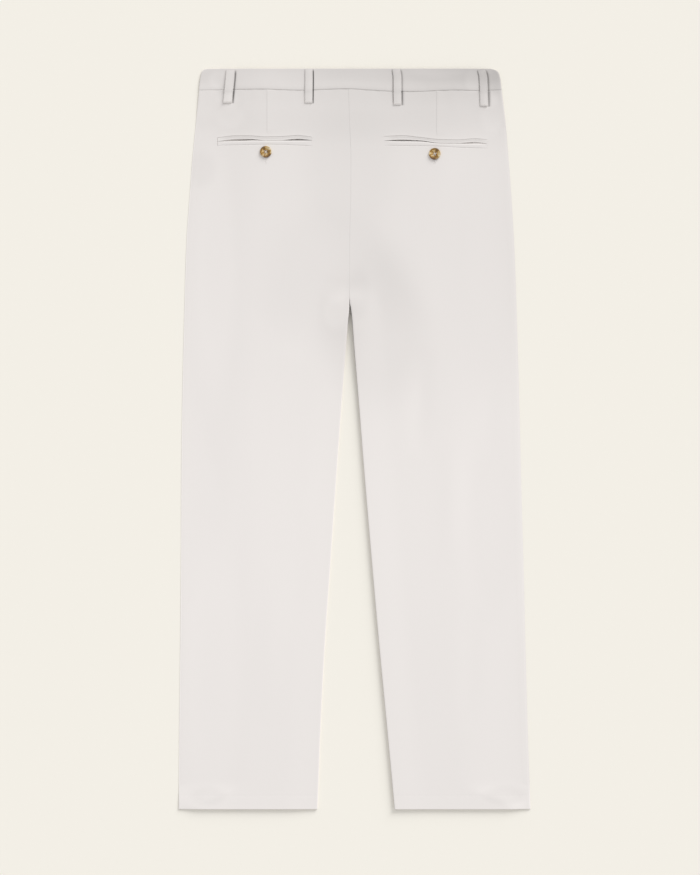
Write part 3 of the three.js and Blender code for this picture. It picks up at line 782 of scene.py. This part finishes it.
def waistband():
    """One strip all round the waist, folded at its top edge and turned under at its seam."""
    half = BAND_TWILL / 2
    turn = np.linspace(math.pi / 2, -math.pi / 2, 9)
    # Level down the waistband and depth below its outer face
    outside = [(level, 0.0) for level in (26, 21, 16, 11, 7, 4.4, 2.6, 1.5)]
    over = [(half * (1 - math.cos(a)), half * (1 - math.sin(a))) for a in turn]
    inside = [(level, BAND_TWILL) for level in (1.5, 7, 16, 26)]
    bottom_out = [(BAND_SEAM_LEVEL, 0.7), (BAND_SEAM_LEVEL - 0.1, 0.35), (BAND_SEAM_LEVEL - 0.4, 0.1),
                  (BAND_SEAM_LEVEL - 1.0, 0.0)]
    profile = bottom_out + outside + over + inside + [(BAND_SEAM_LEVEL, BAND_TWILL)]
    sections = []
    for level, depth in profile:
        x, z, nx, nz = band_path(min(level, BAND_SEAM_LEVEL))
        near_seam = ease((level - 8) / (BAND_SEAM_LEVEL - 8))
        across = mix(BAND_SEAM_LEVEL, band_seam(x), ease((nz + 1) / 2)) - BAND_SEAM_LEVEL
        down = level + across * near_seam
        puff = 0.2 * waves(x, level, 30, 2.0) + 0.15 * waves(x, level, 10, 4.0) * near_seam
        puff = (puff + loop_creases(x, down)) * (nz > 0.2)
        sections.append(put(x - nx * depth, down, z - nz * depth + puff))
    sections = np.array(sections).transpose(1, 0, 2)
    return smooth(tube("waistband_cloth", sections), 60)


def strap_section(x, down, z, slope, width, thickness):
    """A rounded flat section of a strap, across its run."""
    corner = thickness * 0.45
    half = width / 2
    shape = []
    for cx, cy, start in ((half - corner, 1, 0), (-half + corner, 1, 90), (-half + corner, -1, 180),
                          (half - corner, -1, 270)):
        for step in range(4):
            angle = math.radians(start + step * 30)
            shape.append((cx + corner * math.cos(angle),
                          cy * (thickness / 2 - corner) + corner * math.sin(angle)))
    across = np.array([s[0] for s in shape])
    up = np.array([s[1] for s in shape])
    return put(x + across, down + up * math.sin(slope), z + up * math.cos(slope))


def loop_seat(loop, down):
    """The height of what a belt loop lies on."""
    x = float(loop_middle(loop, down))
    seat = max(float(back_height(np.array(x + off), np.array(float(down)))) for off in (-5, 0, 5))
    return seat + float(band_proud(x) * (1 - ease((down - BAND_SEAM_LEVEL - 1) / 3)))


def loop_top(loop, down):
    """The height of a belt loop's upper face along its middle."""
    t = (down - loop.start) / (loop.end - LOOP_TURN - loop.start)
    slack = LOOP_SLACK * math.sin(math.pi * min(max(t, 0), 1)) ** 0.8
    return loop_seat(loop, down) + LOOP_TWILL * 2.1 + slack


def belt_loop(name):
    """A back belt loop: a folded strap caught at the top edge, slack over the waistband and turned under
    where it is tacked down."""
    loop = BACK_LOOPS[name]
    t = np.concatenate([np.linspace(0, 0.1, 6), np.linspace(0.15, 0.83, 15), np.linspace(0.88, 1, 5)])
    down = mix(loop.start, loop.end - LOOP_TURN, t)
    x = loop_middle(loop, down)
    seat = np.array([loop_seat(loop, d) for d in down])
    z = seat + LOOP_TWILL * mix(1.1, 1.6, ease(t / 0.12)) + LOOP_SLACK * np.sin(math.pi * t) ** 0.8
    path = list(zip(x, down, z))
    tucked = seat[-1] + LOOP_TWILL * 0.55
    radius = (z[-1] - tucked) / 2
    for angle in (30, 60, 90, 120, 150):
        a = math.radians(angle)
        path.append((loop.end_x, down[-1] + radius * math.sin(a), z[-1] - radius * (1 - math.cos(a))))
    for back in (0, 3, 7.5):
        path.append((float(loop_middle(loop, down[-1] - back)), down[-1] - back, tucked))
    path = np.array(path)
    run = np.gradient(path[:, 1:], axis=0)
    slopes = np.arctan2(-run[:, 1], run[:, 0])
    sections = [strap_section(*p, s, loop.width, LOOP_TWILL) for p, s in zip(path, slopes)]
    return smooth(tube(f"{name}_cloth", np.array(sections)), 50)


def front_loop(name):
    x, end = FRONT_LOOPS[name]
    downs = np.linspace(1.0, end - 0.5, 12)
    z = 0.08 + LOOP_TWILL / 2
    sections = [strap_section(x, d, z, 0, FRONT_LOOP_WIDTH, LOOP_TWILL) for d in downs]
    return smooth(tube(f"{name}_cloth", np.array(sections)), 50)


def fly_shield():
    """The shield behind the fly, lying inside on the fronts."""
    low_corner, high_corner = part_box("fly_shield")
    left, right = low_corner.x / MM + MIDDLE, high_corner.x / MM + MIDDLE
    start, end = LENGTH / 2 - high_corner.y / MM, LENGTH / 2 - low_corner.y / MM
    downs = np.linspace(start, end, 30)
    outer, inner = [], []
    for down in downs:
        narrow = 1 - 0.55 * ease((down - mix(start, end, 0.7)) / (0.3 * (end - start)))
        x = np.linspace(right - (right - left) * narrow, right, 8)
        base = loop_lift(x, down) + CAD_TWILL + 0.2
        outer.append(put(x, down, base + TWILL))
        inner.append(put(x, down, base))
    return smooth(shell("fly_shield_cloth", np.array(outer), np.array(inner)))


def pocket_button():
    """A four-hole button with a raised rim and a dished middle, flat underneath."""
    bpy.ops.object.select_all(action="DESELECT")
    bpy.ops.mesh.primitive_cylinder_add(
        vertices=64, radius=BUTTON_RADIUS * MM, depth=BUTTON_HEIGHT * MM, location=(0, 0, BUTTON_HEIGHT / 2 * MM))
    button = bpy.context.object
    bpy.ops.object.mode_set(mode="EDIT")
    bpy.ops.mesh.select_mode(type="FACE")
    bpy.ops.mesh.select_all(action="DESELECT")
    work = bmesh.from_edit_mesh(button.data)
    max(work.faces, key=lambda f: f.calc_center_median().z).select_set(True)
    bmesh.update_edit_mesh(button.data)
    for inset, sink in ((2.0, 0.1), (1.0, 0.65), (2.6, 0.12)):
        bpy.ops.mesh.inset(thickness=inset * MM)
        bpy.ops.transform.translate(value=(0, 0, -sink * MM))
    bpy.ops.object.mode_set(mode="OBJECT")
    for sx in (-1, 1):
        for sy in (-1, 1):
            bpy.ops.object.select_all(action="DESELECT")
            place = (sx * HOLE_PLACE * MM, sy * HOLE_PLACE * MM, 0)
            bpy.ops.mesh.primitive_cylinder_add(vertices=20, radius=HOLE_RADIUS * MM, depth=0.02, location=place)
            cutter = bpy.context.object
            select_only(button)
            hole = button.modifiers.new("hole", "BOOLEAN")
            hole.object = cutter
            hole.solver = "EXACT"
            bpy.ops.object.modifier_apply(modifier=hole.name)
            bpy.data.objects.remove(cutter)
    select_only(button)
    soften = button.modifiers.new("soften", "BEVEL")
    soften.width = 0.5 * MM
    soften.segments = 4
    soften.limit_method = "ANGLE"
    soften.angle_limit = math.radians(35)
    bpy.ops.object.modifier_apply(modifier=soften.name)
    return smooth(button, 50)


def place_button(template, side):
    """A copy of the button on its pocket, which keeps its own middle for the horn's pattern."""
    low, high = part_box(f"pocket_button_{side}")
    middle = Vector(((low.x + high.x) / 2, (low.y + high.y) / 2, low.z))
    select_only(template)
    bpy.ops.object.duplicate()
    button = bpy.context.object
    button.name = f"pocket_button_{side}_horn"
    turn = Matrix.Rotation(math.radians(BUTTON_TURN[side]), 4, "Z")
    from_middle = [turn @ v.co / (BUTTON_RADIUS * MM) for v in button.data.vertices]
    grain = Matrix.Rotation(math.radians(BUTTON_GRAIN[side]), 4, "Z")
    store(button, "from_middle", "FLOAT_VECTOR", from_middle)
    store(button, "grain", "FLOAT_VECTOR", [grain @ place for place in from_middle])
    button.data.transform(Matrix.Translation(middle - Vector((0, 0, BUTTON_SINK * MM))) @ turn)
    return button


def store(piece, name, kind, values):
    """Keeps a value at each point of a piece for its material to read."""
    attribute = piece.data.attributes.new(name, kind, "POINT")
    key = "vector" if kind == "FLOAT_VECTOR" else "value"
    attribute.data.foreach_set(key, np.asarray(values, np.float32).ravel())


def surface(x, down):
    """The height of the sewn back cloth."""
    side = "left" if x < inner_left(down) else "right"
    at = np.array([float(x)]), np.array([float(down)])
    return float((back_height(*at) + sewing(side, at[1], *at))[0])


def sew(name, runs):
    """All the stitches of one kind in one piece. Each is a copy of one thread bump, with its x, down, height,
    turn in degrees from across the garment, length and thickness."""
    bpy.ops.object.select_all(action="DESELECT")
    bpy.ops.mesh.primitive_uv_sphere_add(segments=10, ring_count=6, radius=1)
    template = bpy.context.object
    shape = np.array([v.co for v in template.data.vertices])
    sides = [list(f.vertices) for f in template.data.polygons]
    bpy.data.objects.remove(template)
    points, faces = [], []
    for x, down, z, turn, length, thickness in runs:
        angle = math.radians(turn)
        along = shape[:, 0] * length / 2
        across = shape[:, 1] * thickness / 2
        px = x + along * math.cos(angle) - across * math.sin(angle)
        pd = down - along * math.sin(angle) - across * math.cos(angle)
        faces += [[i + len(points) * len(shape) for i in f] for f in sides]
        points.append(put(px, pd, z + shape[:, 2] * thickness * 0.35))
    return smooth(mesh_object(name, np.concatenate(points), faces), 80)


def loop_stitches():
    """Two rows of edge stitching along each loop, and a bar tack across its lower end."""
    runs = []
    for loop in BACK_LOOPS.values():
        edge = loop.width / 2 - 1.1
        for down in np.arange(loop.start + 4, loop.end - 4, 2.7):
            x = float(loop_middle(loop, down))
            runs += [(x + off, down, loop_top(loop, down), 90, 2.1, 0.4) for off in (-edge, edge)]
        down = loop.end - 2.2
        x = float(loop_middle(loop, down))
        z = loop_top(loop, down) + 0.05
        runs += [(x + off, down, z, 80, 1.7, 0.45) for off in np.arange(-edge - 0.9, edge + 1, 0.62)]
    return runs


def pocket_stitches(side):
    """A bar tack down each end of a pocket, and the purl stitches of the buttonhole below it."""
    runs = []
    for row in POCKETS[side][[0, -1]]:
        x = row[0] + 0.35
        for down in np.arange(row[1] + 1, row[4] - 0.8, 0.62):
            runs.append((x, down, surface(x, down) - 0.02, 8, 1.5, 0.22))
    x, middle, slit_end = BUTTONS[side]
    for down in np.arange(middle + 6, slit_end - 1, 0.6):
        for off in (-0.85, 0.85):
            runs.append((x + off, down, surface(x + 1.2 * off, down) + 0.05, 0, 1.0, 0.35))
    return runs


def hem_stitches(side):
    """The small pricks of the blind-stitched hem."""
    first, last = sorted([OUTER[side](HEM_LINE), INNER[side](HEM_LINE)])
    places = np.arange(first + 6, last - 4, HEM_STITCH)
    return [(x, HEM_LINE, surface(x, HEM_LINE) + 0.02, 70, 1.1, 0.22) for x in places]


def button_threads(side):
    """The thread that crosses between the holes of a button."""
    low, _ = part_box(f"pocket_button_{side}")
    z = low.z / MM - BUTTON_SINK + BUTTON_HEIGHT - 0.8
    x, down, _ = BUTTONS[side]
    length = 2 * math.sqrt(2) * HOLE_PLACE + 1
    crossing = ((45, 0), (-45, 0.2))
    return [(x, down, z + rise, BUTTON_TURN[side] + turn, length, 0.8) for turn, rise in crossing]


# Everything that shows
cloth = {}
for side in SIDES:
    for layer in ("front", "back"):
        cloth[f"{layer}_{side}"] = panel(side, layer)
    for is_upper in (True, False):
        piece = pocket_lip(side, is_upper)
        cloth[piece.name.removesuffix("_cloth")] = piece
cloth["waistband"] = waistband()
cloth["fly_shield"] = fly_shield()
for name in BACK_LOOPS:
    cloth[name] = belt_loop(name)
for name in FRONT_LOOPS:
    cloth[name] = front_loop(name)

button_template = pocket_button()
buttons = {side: place_button(button_template, side) for side in SIDES}
bpy.data.objects.remove(button_template)

threads = [sew("belt_loop_stitches", loop_stitches())]
for side in SIDES:
    threads.append(sew(f"pocket_stitches_{side}", pocket_stitches(side)))
    threads.append(sew(f"hem_stitches_{side}", hem_stitches(side)))
    threads.append(sew(f"button_threads_{side}", button_threads(side)))


def to_linear(value):
    return np.where(value <= 0.04045, value / 12.92, ((value + 0.055) / 1.055) ** 2.4)


def linear(hex_colour):
    """An sRGB hex colour as linear values for a shader."""
    return tuple(float(to_linear(int(hex_colour[i:i + 2], 16) / 255)) for i in (1, 3, 5)) + (1.0,)


def tone(x, down):
    """How light the cloth is, in steps: its own colour with painted shade and painted light over it."""
    # The cloth's own colour with painted shade, darker at the waist and right, lightest at the knees
    left, middle, right = (c(down) for c in curves(TONES_WITH_PAINTED_SHADE))
    level = np.where(x < 0, mix(middle, left, ease(-x / 110)), mix(middle, right, ease(x / 190)))
    # Soft patches of painted shade and painted light
    for patch_x, patch_down, half_width, half_height, steps in PAINTED_SHADE_PATCHES:
        away = np.hypot((x - patch_x) / half_width, (down - patch_down) / half_height)
        level = level - steps * (1 - ease((away - 0.55) / 0.7))
    for notch, edge in zip(curves(NOTCH), (inner_left, inner_right)):
        level = level - notch(down) * bell(x - edge(down), NOTCH_WIDTH)
    left_edge = np.where(down < BAND_SEAM_LEVEL, band_left(down), outer_left(down))
    return level + LEFT_EDGE * bell(x - left_edge, 1.5)


def add_node(material, kind, settings=None, links=None):
    """Adds a shader node to a material, sets its properties and inputs, and links its inputs."""
    tree = material.node_tree
    made = tree.nodes.new("ShaderNode" + kind)
    for key, value in (settings or {}).items():
        if isinstance(key, str) and hasattr(made, key):
            setattr(made, key, value)
        else:
            made.inputs[key].default_value = value
    for key, (source, socket) in (links or {}).items():
        tree.links.new(source.outputs[socket], made.inputs[key])
    return made


def new_material(name):
    material = bpy.data.materials.new(name)
    material.use_nodes = True
    material.node_tree.nodes.clear()
    return material


def finish_material(material, settings, links):
    shader = add_node(material, "BsdfPrincipled", settings, links)
    add_node(material, "OutputMaterial", {}, {"Surface": (shader, "BSDF")})
    return material


def colour_with_painted_shade(material):
    """The cloth's colour at each point: its tone with painted shade and painted light, tinted warm."""
    light = add_node(material, "Attribute", {"attribute_name": "tone"})
    return add_node(material, "VectorMath", {"operation": "SCALE", 0: CLOTH_TINT}, {"Scale": (light, "Fac")})


def cotton_twill():
    """Piece-dyed cotton twill: matt, with a fine diagonal rib that is drawn at 0.9 mm, coarser than the real
    0.5 mm, faint slubs along the warp and a soft bloom of fibre ends."""
    material = new_material("stone_cotton_twill")
    place = add_node(material, "TexCoord")
    turned = add_node(material, "Mapping", {"Rotation": (0, 0, math.radians(28))}, {"Vector": (place, "Object")})
    rib = add_node(
        material, "TexWave",
        {"wave_type": "BANDS", "bands_direction": "X", "Scale": 0.314 / 0.0009, "Distortion": 0.8,
         "Detail": 1.0, "Detail Scale": 2.0},
        {"Vector": (turned, "Vector")})
    warp = add_node(
        material, "Mapping", {"Scale": (1 / 0.003, 1 / 0.03, 1 / 0.003)}, {"Vector": (place, "Object")})
    slub = add_node(material, "TexNoise", {"Scale": 1.0, "Detail": 3.0}, {"Vector": (warp, "Vector")})
    bump = add_node(material, "Bump", {"Strength": 0.12, "Distance": 0.00006}, {"Height": (rib, "Fac")})
    uneven = add_node(
        material, "Bump", {"Strength": 0.1, "Distance": 0.0001},
        {"Height": (slub, "Fac"), "Normal": (bump, "Normal")})
    return finish_material(
        material, {"Roughness": 0.9, "Sheen Weight": 0.08, "Sheen Roughness": 0.5, "Specular IOR Level": 0.2},
        {"Normal": (uneven, "Normal"), "Base Color": (colour_with_painted_shade(material), "Vector")})


def sewing_thread():
    """Spun polyester thread in the cloth's colour with its painted shade: a little smoother than the cloth."""
    material = new_material("stone_thread")
    return finish_material(
        material, {"Roughness": 0.6, "Specular IOR Level": 0.4}, {"Base Color": (colour_with_painted_shade(material), "Vector")})


def horn_button():
    """Polished horn look: golden brown and cream streaks cast together; painted shade darkens the lower rim."""
    material = new_material("horn_button")
    place = add_node(material, "Attribute", {"attribute_name": "from_middle"})
    grain = add_node(material, "Attribute", {"attribute_name": "grain"})
    streaks = add_node(material, "TexNoise",
                       {"Scale": 1.6, "Detail": 2.0, "Roughness": 0.45, "Distortion": 0.4},
                       {"Vector": (grain, "Vector")})
    across = add_node(material, "SeparateXYZ", {}, {"Vector": (grain, "Vector")})
    cream = add_node(material, "Math", {"operation": "MULTIPLY"}, {0: (across, "X"), 1: (across, "Y")})
    swirl = add_node(material, "Math", {"operation": "MULTIPLY_ADD", 1: 0.5},
                     {0: (cream, "Value"), 2: (streaks, "Fac")})
    colours = add_node(material, "ValToRGB", {}, {"Fac": (swirl, "Value")})
    ramp = colours.color_ramp
    ramp.elements[0].position = 0.34
    ramp.elements[0].color = linear("#6A4A1A")
    ramp.elements[1].position = 0.72
    ramp.elements[1].color = linear("#DDCFAE")
    for position, colour in ((0.46, "#8E6A26"), (0.53, "#B48B48"), (0.61, "#CDB27C")):
        ramp.elements.new(position).color = linear(colour)
    split = add_node(material, "SeparateXYZ", {}, {"Vector": (place, "Vector")})
    # Painted shade: the rim at the bottom, turned from the light, is mixed toward dark brown
    low = add_node(material, "MapRange",
                   {"From Min": -0.3, "From Max": -0.95, "To Min": 0.0, "To Max": 0.75}, {"Value": (split, "Y")})
    shaded = add_node(material, "Mix", {"data_type": "RGBA", 7: linear("#5E3D22")},
                      {0: (low, "Result"), 6: (colours, "Color")})
    return finish_material(material, {"Roughness": 0.28, "Coat Weight": 0.3, "Coat Roughness": 0.15},
                           {"Base Color": (shaded, 2)})


twill = cotton_twill()
thread = sewing_thread()
horn = horn_button()


def dress(piece, material, takes_loop_shade=False):
    """Gives a piece its material and its tone, and lets it ride on the trousers."""
    piece.data.materials.clear()
    piece.data.materials.append(material)
    places = np.array([v.co for v in piece.data.vertices])
    x, down = places[:, 0] / MM + MIDDLE, LENGTH / 2 - places[:, 1] / MM
    # Pieces beside the belt loops also take the loops' painted shade
    level = tone(x, down) - (loop_shade(x, down) if takes_loop_shade else 0)
    store(piece, "tone", "FLOAT", to_linear(level / 255))
    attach(piece, BODY)


for name, piece in cloth.items():
    dress(piece, twill, name in ("waistband", "back_left", "back_right"))
    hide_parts(name)
for side, button in buttons.items():
    dress(button, horn)
    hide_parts(f"pocket_button_{side}")
for piece in threads:
    dress(piece, thread)

# The floor it lies on
bpy.ops.object.select_all(action="DESELECT")
bpy.ops.mesh.primitive_plane_add(size=60, location=(0, 0, -0.0001))
floor = bpy.context.object
floor.name = "floor"
paper = new_material("cream_paper")
finish_material(paper, {"Base Color": linear("#F3EFE6"), "Roughness": 0.95, "Specular IOR Level": 0.1}, {})
floor.data.materials.append(paper)

# Soft light from all round, and a broad low key light from the upper right
SKY_LIGHT = 0.717
KEY_LIGHT = 2.33
KEY_SPREAD = math.radians(30)
KEY_ELEVATION = math.radians(22.5)
KEY_TURN = math.radians(56)
world = bpy.data.worlds.new("studio")
world.use_nodes = True
bpy.context.scene.world = world
sky = world.node_tree.nodes["Background"]
sky.inputs["Color"].default_value = (1, 1, 1, 1)
sky.inputs["Strength"].default_value = SKY_LIGHT

sun = bpy.data.lights.new("key", "SUN")
sun.energy = KEY_LIGHT
sun.angle = KEY_SPREAD
key = bpy.data.objects.new("key", sun)
bpy.context.scene.collection.objects.link(key)
across = math.cos(KEY_ELEVATION)
toward_key = Vector((across * math.cos(KEY_TURN), across * math.sin(KEY_TURN), math.sin(KEY_ELEVATION)))
key.rotation_euler = toward_key.to_track_quat("Z", "Y").to_euler()

# The camera looks straight down, with the photograph's middle, and its scale at the cloth's height
MM_PER_PIXEL = 1.4444
PICTURE_HEIGHT = 875
LENS = 85.0
SENSOR = 36.0
CLOTH_HEIGHT = 4.0
AIM_UP = 2.0
camera_data = bpy.data.cameras.new("camera")
camera_data.lens = LENS
camera_data.sensor_width = SENSOR
camera = bpy.data.objects.new("camera", camera_data)
bpy.context.scene.collection.objects.link(camera)
distance = LENS / SENSOR * PICTURE_HEIGHT * MM_PER_PIXEL + CLOTH_HEIGHT
camera.location = (-MIDDLE * MM, AIM_UP * MM, distance * MM)
bpy.context.scene.camera = camera

bpy.context.scene.view_settings.view_transform = "Standard"
